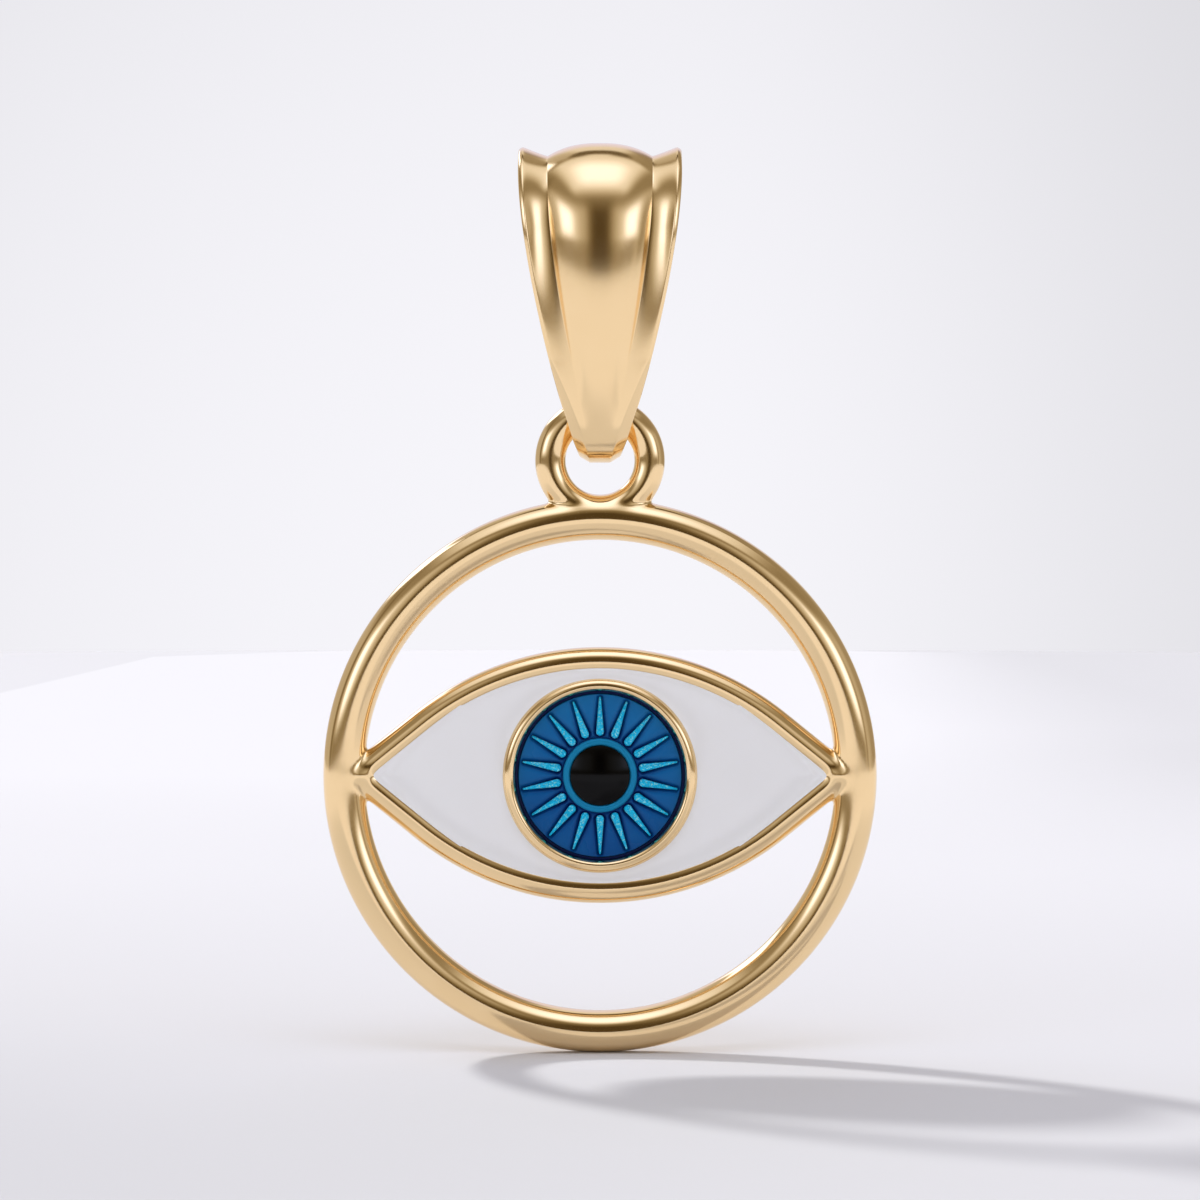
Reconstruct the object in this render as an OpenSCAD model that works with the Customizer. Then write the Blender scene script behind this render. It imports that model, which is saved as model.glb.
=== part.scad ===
// Evil eye pendant: a tapered bail, and a drop that hangs from it by a soldered loop.
// Millimetres, +Z up, the front faces -Y.
// The origin is the chain seat: the inside top of the bail, where a chain bears.

/* [Round frame] */
// Outside diameter of the round wire frame
ring_d = 16; // [15.5:0.1:20]
// Wire diameter of the round frame
ring_wire = 1.2; // [1:0.02:1.5]

/* [Loop on the frame] */
// Outside diameter of the loop soldered on the frame
loop_d = 3.75; // [3.65:0.05:4.6]
// Wire diameter of the loop
loop_wire = 0.88; // [0.7:0.02:0.92]
// Rise of the loop's hole above the outside of the frame wire
loop_rise = 0.1; // [0.05:0.01:0.3]

/* [Eye rim] */
// Overall height of the eye over its rim wires
eye_h = 7.4; // [7.2:0.05:8.2]
// Wire diameter of the eye rim
rim_wire = 0.84; // [0.72:0.02:0.96]
// Slope of the rim at the corners of the eye, degrees
corner_angle = 39; // [36:1:44]
// Distance from a corner of the eye to the middle of the frame wire
corner_bar = 0.47; // [0.3:0.01:0.7]
// Diameter of the short bar that joins a corner to the frame wire
bar_d = 0.92; // [0.88:0.02:1.1]

/* [Tray behind the eye] */
// Thickness of the tray's floor
floor_t = 0.28; // [0.2:0.02:0.34]
// Distance from the middle of the wires back to the floor's rear face
floor_back = 0.38; // [0.34:0.01:0.39]

/* [Iris bezel] */
// Width of the white left between the bezel and the rim at the middle of each lid
lid_gap = 0.18; // [0.06:0.01:0.3]
// Width of the bezel's wall
bezel_wall = 0.39; // [0.3:0.01:0.5]
// Height of the bezel's crest in front of the middle of the wires
bezel_front = 0.56; // [0.5:0.01:0.8]

/* [White enamel] */
// Height of the white enamel in front of the middle of the wires
white_front = 0.34; // [0.3:0.01:0.36]

/* [Iris] */
// Number of rays in the iris
ray_count = 18; // [12:1:20]
// Radius at which the rays begin
ray_inner_r = 1.14; // [1.08:0.01:1.2]
// Distance from the rays' tips to the sunk border
ray_edge = 0.06; // [0.04:0.01:0.5]
// Width of a ray's rounded inner end
ray_inner_w = 0.24; // [0.18:0.01:0.3]
// Width of a ray's tip
ray_tip_w = 0.07; // [0.05:0.01:0.1]
// Thickness of the struck plate under the rays
iris_plate_t = 0.14; // [0.1:0.01:0.18]
// Height of the rays in front of the middle of the wires
ray_front = 0.3; // [0.28:0.01:0.36]
// Height of the blue enamel in front of the middle of the wires
blue_front = 0.25; // [0.2:0.01:0.27]
// Width of the sunk border round the blue enamel
border_w = 0.08; // [0.06:0.01:0.18]
// Depth of the sunk border below the blue enamel
border_depth = 0.1; // [0.05:0.01:0.14]

/* [Pupil] */
// Diameter of the black pupil
pupil_d = 1.7; // [1.4:0.02:1.72]
// Width of the ring round the pupil
pupil_ring_w = 0.2; // [0.12:0.01:0.21]
// Height of the ring round the pupil in front of the middle of the wires
pupil_ring_front = 0.33; // [0.31:0.01:0.4]
// Height of the pupil's crown in front of the middle of the wires
pupil_front = 0.48; // [0.42:0.01:0.6]
// Rise of the pupil's dome
pupil_dome = 0.18; // [0.1:0.01:0.24]

/* [Bail] */
// Overall height of the bail
bail_h = 9.23; // [8.8:0.05:11]
// Width of the bail at its top
bail_w = 4.7; // [4.2:0.05:5.4]
// Depth of the bail, front to back
bail_d = 4; // [3.6:0.05:4.8]
// Height from the widest depth of the bail up to its top
crown_h = 3.05; // [2.8:0.05:4.2]
// Thickness of the bail's wall from its crown to the chain seat
bail_wall = 0.75; // [0.7:0.01:0.85]
// Thickness of the bail's tip under the loop
tip_wall = 0.9; // [0.85:0.01:1]
// Radius of the bail's tip, seen from the side
tip_r = 1.05; // [1:0.01:1.15]
// Width of the bail at its tip
tip_w = 1.22; // [1.1:0.01:1.3]
// Drop from the top before the bail starts to narrow
shoulder_h = 0.7; // [0.5:0.05:1.2]
// How late the bail narrows: 1 is a straight taper
taper_power = 1.68; // [1.5:0.01:1.9]
// Rise of the central dome over the grooves beside it, on the crown
dome_rise = 0.37; // [0.3:0.01:0.4]
// Further rise of the dome down the front and the back
dome_swell = 0.13; // [0.04:0.01:0.16]
// Drop of the ridges below the crown, as a share of the dome's rise
rim_share = 0.28; // [0.2:0.01:0.5]
// Slope of the bevels outside the ridges
bevel_slope = 0.6; // [0.5:0.05:0.8]
// Share of the wall's half width that is bevelled away on the inside of the tip
inner_bevel = 0.34; // [0.2:0.01:0.4]
// Saddle in the tip, where the loop's wire curves away
saddle = 0.3; // [0.24:0.01:0.36]

/* [Clearances] */
// Gap between a set piece and the metal that holds it
fit_gap = 0.02; // [0.01:0.005:0.04]
// Gap between the loop's wire and the bail that it swings in
swing_gap = 0.16; // [0.12:0.01:0.24]

/* [Hidden] */

// Heights down from the chain seat
bail_top = bail_wall;
deep_z = bail_top - crown_h;
bail_bottom = bail_top - bail_h;
tip_z = bail_bottom + tip_r;
pivot_z = bail_bottom + tip_wall + swing_gap + loop_wire / 2;
loop_r = (loop_d - loop_wire) / 2;
loop_z = pivot_z - loop_r;
hole_r = loop_r - loop_wire / 2;
ring_r = (ring_d - ring_wire) / 2;
ring_z = loop_z - hole_r - loop_rise - ring_d / 2;

// Rim of the eye, at the middle of its wire: an arc that runs into a straight line at each corner
rim_h = (eye_h - rim_wire) / 2;
corner_x = ring_r - corner_bar;
rim_r = (corner_x * tan(corner_angle) - rim_h) / (1 / cos(corner_angle) - 1);
rim_c = rim_r - rim_h;
straight_l = (rim_r * cos(corner_angle) - rim_c) / sin(corner_angle);
outline_steps = 20;

// Levels in the eye, as distances in front of the middle of the wires
floor_front = floor_t - floor_back;
seat = floor_front + fit_gap;
function wire_inset(level) = sqrt(pow(rim_wire / 2 + fit_gap, 2) - level * level);
bezel_r = rim_h - wire_inset(white_front) - lid_gap;
iris_r = bezel_r - bezel_wall - fit_gap;
ray_outer_r = iris_r - border_w - ray_edge;
plate_front = seat + iris_plate_t;
pupil_ring_r = pupil_d / 2 + fit_gap + pupil_ring_w;

// Bail, seen from the side: half an ellipse on top, a long arc down each leaf and a round tip
half_d = bail_d / 2;
leaf_h = deep_z - tip_z;
leaf_r = (leaf_h * leaf_h + half_d * half_d - tip_r * tip_r) / (2 * (half_d - tip_r));
leaf_angle = asin(leaf_h / (leaf_r - tip_r));
inner_d = half_d - bail_wall;
inner_crown = crown_h - bail_wall;
inner_tip_r = loop_wire / 2 + swing_gap;
inner_leaf_h = deep_z - pivot_z;
inner_leaf_r = (inner_leaf_h * inner_leaf_h + inner_d * inner_d - inner_tip_r * inner_tip_r)
    / (2 * (inner_d - inner_tip_r));
inner_leaf_angle = asin(inner_leaf_h / (inner_leaf_r - inner_tip_r));

// Sections along the bail: steps over the crown, down a leaf and round the tip
crown_steps = 12;
leaf_steps = 10;
tip_steps = 8;
// Places across the dome and across a groove, as shares of their widths
dome_shares = [0.3, 0.5, 0.66, 0.8, 0.91, 1];
groove_shares = [0.25, 0.5, 0.75, 1];
inner_shares = [1, 0.66, 0.33, 0, -0.33, -0.66, -1];
// Half width of the dome at the top, as a share of the bail's, and how far it narrows
dome_share = 0.642;
dome_narrowing = 0.3;
// How late the dome bends down across its width: 2 is a parabola
dome_power = 2.5;
// Share of the way down at which the grooves are gone, how late they fade and how softly they end
fade_to = 0.9;
fade_power = 3;
fade_softness = 1.5;
// Share of the way down by which the dome has its full rise
swell_to = 0.22;
// How late a groove climbs to its ridge: 1 is straight, as nearly on the crown
groove_power = 1.15;
groove_power_gain = 0.95;
// Share of the half width at which the ridges stand, and where down the bail and how fast they close in
ridge_share = 0.95;
ridge_from = 0.67;
ridge_closing = 1.42;

function clamp01(v) = min(1, max(0, v));
function smooth(v) = v * v * (3 - 2 * v);

// A point of an egg-shaped side view where its outward normal stands at angle a
function egg(a, depth, crown, leaf, reach, tip, tip_at) =
    let (c = cos(a), s = sin(a), side = c < 0 ? -1 : 1)
    s >= 0
        ? let (n = sqrt(pow(depth * c, 2) + pow(crown * s, 2)))
            [-depth * depth * c / n, deep_z + crown * crown * s / n]
        : abs(s) <= sin(reach)
            ? [-side * (leaf * abs(c) - leaf + depth), deep_z + leaf * s]
            : [-tip * c, tip_at + tip * s];
function outer_egg(a) = egg(a, half_d, crown_h, leaf_r, leaf_angle, tip_r, tip_z);
function inner_egg(a) = egg(a, inner_d, inner_crown, inner_leaf_r, inner_leaf_angle, inner_tip_r, pivot_z);

// Share of the way down from the shoulder to the tip, and the half width there
function down(z) = clamp01((bail_top - shoulder_h - z) / (bail_h - shoulder_h));
function half_w(z) = bail_w / 2 * (1 - (1 - tip_w / bail_w) * pow(down(z), taper_power));

// Ridges along the outside, and the drop of the bevels outside them
function ridge_at(d) = ridge_share - ridge_closing * max(0, d - ridge_from);
function bevel_drop(u, d, w) = bevel_slope * w * max(0, abs(u) - ridge_at(d));

// Angles of the outward normal at the sections, from the tip up the front and down the back
crown_angles = [for (i = [1:crown_steps])
    let (a = 90 * i / crown_steps)
    atan2(half_d * sin(a), crown_h * cos(a))];
leaf_angles = [for (i = [0:leaf_steps - 1]) -leaf_angle * (leaf_steps - i) / leaf_steps];
tip_angles = [for (i = [0:tip_steps - 1]) -90 + (90 - leaf_angle) * i / tip_steps];
front_angles = concat(tip_angles, leaf_angles, [0], crown_angles);
back_angles = [for (i = [len(front_angles) - 2:-1:1]) 180 - front_angles[i]];
section_angles = concat(front_angles, back_angles);

// One section of the bail, as points round its wall
function section(a) =
    let (
        out = outer_egg(a),
        inn = inner_egg(a),
        normal = [-cos(a), sin(a)],
        d = down(out[1]),
        swell = smooth(clamp01(d / swell_to)),
        fade = pow(max(0, 1 - pow(d / fade_to, fade_power)), fade_softness),
        rise = fade * (dome_rise + dome_swell * swell),
        climb = (1 - rim_share) * (1 - smooth(d)),
        power = groove_power + groove_power_gain * swell,
        valley = dome_share - dome_narrowing * pow(d, 3),
        ridge = ridge_at(d),
        w = half_w(out[1]),
        bevel = 1 - inner_bevel * smooth(d),
        tip_share = sqrt(max(0, -sin(a))),
        right = concat(
            [for (v = dome_shares) [v * valley, rise * pow(v, dome_power)]],
            [for (t = groove_shares) [valley + (ridge - valley) * t, rise * (1 - climb * pow(t, power))]],
            [[1, rise * (1 - climb)]]
        ),
        half = [for (p = right) [p[0], p[1] + bevel_drop(p[0], d, w)]],
        left = [for (i = [len(half) - 1:-1:0]) [-half[i][0], half[i][1]]],
        across = concat(left, [[0, 0]], half),
        side = (out + inn) / 2
    )
    concat(
        [for (p = across) [p[0] * w, out[0] - normal[0] * p[1], out[1] - normal[1] * p[1]]],
        [[half_w(side[1]) * (1 + bevel) / 2, side[0], side[1]]],
        [for (u = inner_shares)
            let (sink = saddle * tip_share * u * u)
            [u * half_w(inn[1]) * bevel, inn[0] + normal[0] * sink, inn[1] + normal[1] * sink]],
        [[-half_w(side[1]) * (1 + bevel) / 2, side[0], side[1]]]
    );

module bail() {
    rings = [for (a = section_angles) section(a)];
    n = len(rings);
    m = len(rings[0]);
    points = [for (r = rings) for (p = r) p];
    faces = [
        for (i = [0:n - 1]) for (j = [0:m - 1])
            let (
                k = (i + 1) % n,
                l = (j + 1) % m,
                quad = [i * m + j, i * m + l, k * m + l, k * m + j]
            )
            for (f = [[quad[0], quad[3], quad[2]], [quad[0], quad[2], quad[1]]]) f
    ];
    color([0.91, 0.76, 0.5]) polyhedron(points, faces);
}

// Puts what is drawn in the eye's own plane, x across and y up, at the middle of the round frame,
// with its third axis towards the front
module on_drop() translate([0, 0, ring_z]) rotate([90, 0, 0]) children();

// A ring of round wire, by the radius at the middle of its wire
module wire_ring(r, wire) rotate_extrude($fn = 96) translate([r, 0]) circle(d = wire, $fn = 32);

// Both lids of the eye rim in wire of the given diameter: an arc with a straight run to each corner
module rim_wires(wire) {
    for (lid = [0, 180]) rotate([lid, 0, 0]) {
        translate([0, -rim_c, 0])
            rotate_extrude(start = 90 - corner_angle, angle = 2 * corner_angle, $fn = 192)
                translate([rim_r, 0]) circle(d = wire, $fn = 32);
        for (s = [-1, 1])
            translate([s * rim_r * sin(corner_angle), rim_r * cos(corner_angle) - rim_c, 0])
                rotate([0, 0, -s * (90 + corner_angle)])
                    rotate([-90, 0, 0]) cylinder(h = straight_l, d = wire, $fn = 32);
    }
}

// Short bars from just inside the corners of the eye to within the frame wire
module corner_bars(wire) {
    for (turn = [0, 180]) rotate(turn)
        translate([corner_x - corner_bar / 2, 0, 0])
            rotate([0, 90, 0]) cylinder(h = corner_bar * 1.5, d = wire, $fn = 32);
}

// Outline of the eye at a given inset from the middle of its rim wires, lid by lid
function lid_points(s, inset) = concat(
    [[s * (corner_x - inset / sin(corner_angle)), 0]],
    [for (i = [0:outline_steps])
        let (a = corner_angle * (1 - 2 * i / outline_steps), r = rim_r - inset)
        [s * r * sin(a), s * (r * cos(a) - rim_c)]]
);
function eye_points(inset) = concat(lid_points(1, inset), lid_points(-1, inset));
module eye_outline() polygon(eye_points(0));

// Solid that fills the eye between two levels, just clear of the rim's round wires
module eye_fill(low, high) {
    steps = 6;
    levels = [for (i = [0:steps]) low + (high - low) * i / steps];
    points = [for (h = levels) for (p = eye_points(wire_inset(h))) [p[0], p[1], h]];
    n = 2 * (outline_steps + 2);
    top = steps * n;
    walls = [
        for (i = [0:steps - 1]) for (j = [0:n - 1])
            let (a = i * n + j, b = i * n + (j + 1) % n)
            for (f = [[a, a + n, b + n], [a, b + n, b]]) f
    ];
    polyhedron(points, concat(walls, [[for (j = [0:n - 1]) j], [for (j = [n - 1:-1:0]) top + j]]));
}

// Outline of one ray, grown all round by a gap
module ray_outline(gap) {
    r_in = ray_inner_w / 2;
    r_tip = ray_tip_w / 2;
    round_steps = 6;
    inner_end = [for (i = [0:round_steps])
        let (a = 90 + 180 * i / round_steps)
        [ray_inner_r + r_in + (r_in + gap) * cos(a), (r_in + gap) * sin(a)]];
    tip_end = [for (a = [-60, 0, 60])
        [ray_outer_r - r_tip + (r_tip + gap) * cos(a), (r_tip + gap) * sin(a)]];
    polygon(concat(inner_end, tip_end));
}
module rays(gap) for (i = [0:ray_count - 1]) rotate(90 + 360 * i / ray_count) ray_outline(gap);

// Solid between two levels in front of the middle of the wires
module between(low, high) translate([0, 0, low]) linear_extrude(high - low) children();

module frame() {
    color([0.91, 0.76, 0.5]) {
        translate([0, 0, loop_z]) rotate([90, 0, 0]) wire_ring(loop_r, loop_wire);
        on_drop() {
            wire_ring(ring_r, ring_wire);
            rim_wires(rim_wire);
            corner_bars(bar_d);
            between(-floor_back, floor_front) eye_outline();
            rotate_extrude($fn = 96) {
                translate([bezel_r - bezel_wall, -floor_back / 2])
                    square([bezel_wall, floor_back / 2 + bezel_front - bezel_wall / 2]);
                translate([bezel_r - bezel_wall / 2, bezel_front - bezel_wall / 2])
                    circle(d = bezel_wall, $fn = 32);
            }
        }
    }
}

module white_enamel() {
    color([0.87, 0.87, 0.88]) on_drop() difference() {
        eye_fill(seat, white_front);
        between(seat - 1, white_front + 1) circle(r = bezel_r + fit_gap, $fn = 96);
    }
}

module iris_relief() {
    color([0.18, 0.65, 0.82]) on_drop() {
        between(seat, plate_front) circle(r = iris_r, $fn = 96);
        between(plate_front - iris_plate_t / 2, ray_front) rays(0);
        between(plate_front - iris_plate_t / 2, pupil_ring_front) difference() {
            circle(r = pupil_ring_r, $fn = 64);
            circle(r = pupil_d / 2 + fit_gap, $fn = 64);
        }
    }
}

module iris_enamel() {
    low = plate_front + fit_gap;
    color([0.1, 0.38, 0.66]) on_drop() difference() {
        union() {
            between(low, blue_front - border_depth) circle(r = iris_r, $fn = 96);
            between(low, blue_front) circle(r = iris_r - border_w, $fn = 96);
        }
        between(low - 1, blue_front + 1) {
            rays(fit_gap);
            circle(r = pupil_ring_r + fit_gap, $fn = 64);
        }
    }
}

module pupil() {
    low = plate_front + fit_gap;
    dome_r = (pow(pupil_d / 2, 2) + pow(pupil_dome, 2)) / (2 * pupil_dome);
    color([0.03, 0.03, 0.04]) on_drop() intersection() {
        between(low, pupil_front + 1) circle(d = pupil_d, $fn = 64);
        translate([0, 0, pupil_front - dome_r]) sphere(r = dome_r, $fn = 96);
    }
}

bail();
frame();
white_enamel();
iris_relief();
iris_enamel();
pupil();
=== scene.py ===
import math

import bpy
import numpy as np
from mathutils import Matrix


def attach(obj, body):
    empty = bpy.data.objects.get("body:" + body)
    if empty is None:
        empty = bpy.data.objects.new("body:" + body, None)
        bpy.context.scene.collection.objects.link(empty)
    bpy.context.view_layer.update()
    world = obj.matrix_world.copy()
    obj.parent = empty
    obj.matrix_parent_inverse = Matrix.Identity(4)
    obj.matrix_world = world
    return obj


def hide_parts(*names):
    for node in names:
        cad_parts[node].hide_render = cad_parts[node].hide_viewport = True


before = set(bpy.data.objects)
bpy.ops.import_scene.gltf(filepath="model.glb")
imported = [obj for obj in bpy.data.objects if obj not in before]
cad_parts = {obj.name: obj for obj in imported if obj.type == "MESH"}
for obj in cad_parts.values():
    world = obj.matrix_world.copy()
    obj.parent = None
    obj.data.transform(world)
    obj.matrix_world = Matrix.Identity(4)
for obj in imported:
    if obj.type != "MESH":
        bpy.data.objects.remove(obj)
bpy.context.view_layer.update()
mm = 0.001
scene = bpy.context.scene
print("frame loaded:", sorted(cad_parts))


# A number, colour or vector in a node tree: arithmetic on it adds the Math nodes
class Signal:
    def __init__(self, tree, socket):
        self.tree = tree
        self.socket = socket

    def maths(self, operation, *values):
        return addNode(self.tree, "ShaderNodeMath", {"operation": operation}, dict(enumerate(values)))

    def __add__(self, other):
        return self.maths("ADD", self, other)

    def __sub__(self, other):
        return self.maths("SUBTRACT", self, other)

    def __mul__(self, other):
        return self.maths("MULTIPLY", self, other)

    def __truediv__(self, other):
        return self.maths("DIVIDE", self, other)

    def __pow__(self, other):
        return self.maths("POWER", self, other)

    def __rsub__(self, other):
        return self.maths("SUBTRACT", other, self)

    def __rtruediv__(self, other):
        return self.maths("DIVIDE", other, self)

    __radd__ = __add__
    __rmul__ = __mul__

    # 0 below the low value, 1 above the high one, and smooth between them
    def rise(self, low, high):
        settings = {"interpolation_type": "SMOOTHSTEP"}
        return addNode(self.tree, "ShaderNodeMapRange", settings, {0: self, 1: low, 2: high})

    # 0 up to the first value, 1 between the second and third, and 0 again from the last
    def plateau(self, start, full, ending, gone):
        return self.rise(start, full) * (1 - self.rise(ending, gone))

    # Moves towards a value by a share
    def towards(self, value, share):
        return self + (value - self) * share


# Adds a node, gives it its settings and then its sockets' values or links, and returns one output
def addNode(tree, kind, settings=None, sockets=None, out=0):
    made = tree.nodes.new(kind)
    for name, value in (settings or {}).items():
        setattr(made, name, value)
    for key, value in (sockets or {}).items():
        if isinstance(value, Signal):
            tree.links.new(value.socket, made.inputs[key])
        else:
            made.inputs[key].default_value = value
    return Signal(tree, made.outputs[out])


# The three numbers of a vector
def partsOf(vector):
    made = addNode(vector.tree, "ShaderNodeSeparateXYZ", None, {0: vector})
    return [Signal(vector.tree, output) for output in made.socket.node.outputs]


def mixColours(tree, share, first, second):
    return addNode(tree, "ShaderNodeMix", {"data_type": "RGBA"}, {0: share, 6: first, 7: second}, 2)


def colour(red, green, blue):
    return (red, green, blue, 1)


# A material with an empty Principled shader: paint(tree, place) returns what its sockets get
def makeMaterial(name, constants, paint):
    material = bpy.data.materials.new(name)
    material.use_nodes = True
    tree = material.node_tree
    shader = tree.nodes["Principled BSDF"]
    for key, value in constants.items():
        shader.inputs[key].default_value = value
    place = addNode(tree, "ShaderNodeTexCoord", out=3)
    for key, value in paint(tree, place).items():
        tree.links.new(value.socket, shader.inputs[key])
    return material


def noise(tree, place, scale, detail=3, rough=0.5):
    sockets = {"Vector": place, "Scale": scale, "Detail": detail, "Roughness": rough}
    return addNode(tree, "ShaderNodeTexNoise", None, sockets)


# Raises the surface by a height in metres, on top of the bump under it
def bump(tree, height, distance, under=None):
    sockets = {"Strength": 1, "Distance": distance, "Height": height}
    if under:
        sockets["Normal"] = under
    return addNode(tree, "ShaderNodeBump", None, sockets)


# A number that the mesh carries at its points
def carried(tree, name):
    return addNode(tree, "ShaderNodeAttribute", {"attribute_name": name}, None, 2)


# Gold: long soft waves and a fine grain, on the drawn wires and, a little duller, on the cast bail
goldLook = {
    "colour": colour(0.94, 0.705, 0.4),
    "deepColour": colour(0.91, 0.67, 0.365),
    "wireRoughness": 0.1,
    "bailRoughness": 0.14,
    "patchScale": 966,
    "patchSpread": 0.05,
    "waveScale": 420,
    "waveHeight": 0.0000012,
    "grainScale": 9000,
    "grainHeight": 0.00000012,
    "grainSpread": 0.04,
}


def goldPaint(roughness):
    look = goldLook

    def paint(tree, place):
        wave = noise(tree, place, look["waveScale"], 2)
        grain = noise(tree, place, look["grainScale"], 4, 0.6)
        patch = noise(tree, place, look["patchScale"])
        worn = (patch - 0.5) * look["patchSpread"] + roughness
        return {
            "Base Color": mixColours(tree, patch, look["colour"], look["deepColour"]),
            "Roughness": worn + (grain - 0.5) * look["grainSpread"],
            "Normal": bump(tree, grain, look["grainHeight"], bump(tree, wave, look["waveHeight"])),
        }

    return paint


gold = makeMaterial("gold", {"Metallic": 1}, goldPaint(goldLook["wireRoughness"]))
castGold = makeMaterial("cast_gold", {"Metallic": 1}, goldPaint(goldLook["bailRoughness"]))

whiteLook = {
    "colour": colour(0.955, 0.958, 0.962),
    "shade": colour(0.92, 0.923, 0.93),
    "cloudScale": 350,
    "rippleScale": 700,
    "rippleHeight": 0.0000015,
    "roughness": 0.2,
    "roughnessSpread": 0.06,
}


def paintWhite(tree, place):
    look = whiteLook
    cloud = noise(tree, place, look["cloudScale"])
    ripple = noise(tree, place, look["rippleScale"], 2)
    return {
        "Base Color": mixColours(tree, cloud, look["colour"], look["shade"]),
        "Roughness": cloud * look["roughnessSpread"] + look["roughness"],
        "Normal": bump(tree, ripple, look["rippleHeight"]),
    }


whiteEnamel = makeMaterial("white_enamel", {"Coat Weight": 0.6, "Coat Roughness": 0.06}, paintWhite)

# Blue enamel: lowReach holds the heights in metres between which it deepens downwards
blueLook = {
    "colour": colour(0.01, 0.165, 0.425),
    "lowColour": colour(0.0025, 0.075, 0.28),
    # deepColour is the painted shade's colour beside the rays and round the ring, and the sunk border's
    # navy
    "deepColour": colour(0.002, 0.012, 0.11),
    "lowReach": (-0.0202, -0.0148),
    "lowShare": 0.8,
    "cloudShare": 0.2,
    "cloudReach": (0.3, 0.7),
    "cloudScale": 900,
    "rippleScale": 1500,
    "rippleHeight": 0.000002,
    "roughness": 0.22,
    "roughnessSpread": 0.1,
}


# It is darkest where it is deep: painted shade in the channels beside the rays and round the ring,
# and dark navy in the sunk border
def paintBlue(tree, place):
    look = blueLook
    cloud = noise(tree, place, look["cloudScale"])
    up = partsOf(place)[2]
    low = 1 - up.rise(*look["lowReach"])
    darker = low * look["lowShare"] + cloud.rise(*look["cloudReach"]) * look["cloudShare"]
    ground = mixColours(tree, darker, look["colour"], look["lowColour"])
    ripple = noise(tree, place, look["rippleScale"], 2)
    return {
        "Base Color": mixColours(tree, carried(tree, "deep"), ground, look["deepColour"]),
        "Roughness": cloud * look["roughnessSpread"] + look["roughness"],
        "Normal": bump(tree, ripple, look["rippleHeight"]),
    }


blueEnamel = makeMaterial("blue_enamel", {"Specular IOR Level": 0.12}, paintBlue)

# Struck metal under light blue, with fine flakes on the rays and painted glints on the brightest of them
rayLook = {
    "colour": colour(0.012, 0.66, 0.98),
    "darkColour": colour(0.005, 0.38, 0.7),
    "ringColour": colour(0.008, 0.24, 0.47),
    "glint": colour(0.35, 0.92, 1.0),
    "glintReach": (0.78, 0.95),
    "flakeScale": 36000,
    "pitScale": 16000,
    "pitHeight": 0.000006,
    "roughness": 0.4,
    "flakeShine": 0.15,
}


def paintRelief(tree, place):
    look = rayLook
    cells = {"Vector": place, "Scale": look["flakeScale"], "Randomness": 1}
    flakes = addNode(tree, "ShaderNodeTexVoronoi", {"feature": "F1"}, cells, 1)
    flake = addNode(tree, "ShaderNodeSeparateColor", None, {0: flakes})
    sparkle = carried(tree, "sparkle")
    ray = mixColours(tree, flake, look["darkColour"], look["colour"])
    tone = mixColours(tree, sparkle, look["ringColour"], ray)
    # Painted glints: the brightest flakes on the rays take the glint colour
    glintShare = flake.rise(*look["glintReach"]) * sparkle
    pits = noise(tree, place, look["pitScale"], 2)
    return {
        "Base Color": mixColours(tree, glintShare, tone, look["glint"]),
        "Roughness": look["roughness"] - sparkle * flake * look["flakeShine"],
        "Normal": bump(tree, pits * sparkle, look["pitHeight"]),
    }


struckBlue = makeMaterial("iris_relief", {"Metallic": 0.3, "Specular IOR Level": 0.15}, paintRelief)

blackLook = {
    "colour": colour(0.0006, 0.0006, 0.0008),
    "haze": colour(0.001, 0.001, 0.0013),
    "hazeScale": 800,
    "roughness": 0.09,
    "roughnessSpread": 0.05,
}


def paintBlack(tree, place):
    look = blackLook
    haze = noise(tree, place, look["hazeScale"], 2)
    return {
        "Base Color": mixColours(tree, haze, look["colour"], look["haze"]),
        "Roughness": haze * look["roughnessSpread"] + look["roughness"],
    }


blackEnamel = makeMaterial("black_enamel", {"Specular IOR Level": 0.14}, paintBlack)
print("materials made")


# Mesh helpers
def addPiece(name, mesh, material):
    piece = bpy.data.objects.new(name, mesh)
    scene.collection.objects.link(piece)
    if material and not mesh.materials:
        mesh.materials.append(material)
    return piece


# A mesh from points in millimetres, turned the right way out
def makeMesh(name, points, faces):
    points = np.asarray(points, float) * mm
    faces = [tuple(int(i) for i in face) for face in faces]
    corners = np.array([(f[0], f[i], f[i + 1]) for f in faces for i in range(1, len(f) - 1)])
    a, b, c = (points[corners[:, i]] for i in range(3))
    if np.einsum("ij,ij->", a, np.cross(b, c)) < 0:
        faces = [face[::-1] for face in faces]
    mesh = bpy.data.meshes.new(name)
    mesh.from_pydata(points.tolist(), [], faces)
    mesh.shade_smooth()
    return mesh


# Faces of a grid of points, numbered row by row
def gridFaces(rows, columns, closeRows=False, closeColumns=False):
    faces = []
    for i in range(rows if closeRows else rows - 1):
        here, following = i * columns, (i + 1) % rows * columns
        for j in range(columns if closeColumns else columns - 1):
            k = (j + 1) % columns
            faces.append((here + j, here + k, following + k, following + j))
    return faces


# Faces of a stack of outlines that have the same number of points, closed at both ends
def stackFaces(layers, count):
    last = (layers - 1) * count
    ends = [tuple(range(count))[::-1], tuple(range(last, last + count))]
    return gridFaces(layers, count, closeColumns=True) + ends


# Takes (across, up, level) in the eye to the pendant's own axes, where level is the distance in front of
# the wires' middle
def inEye(points):
    points = np.asarray(points, float)
    return np.stack([points[:, 0], -points[:, 2], points[:, 1] + wires["ringHeight"]], 1)


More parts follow.
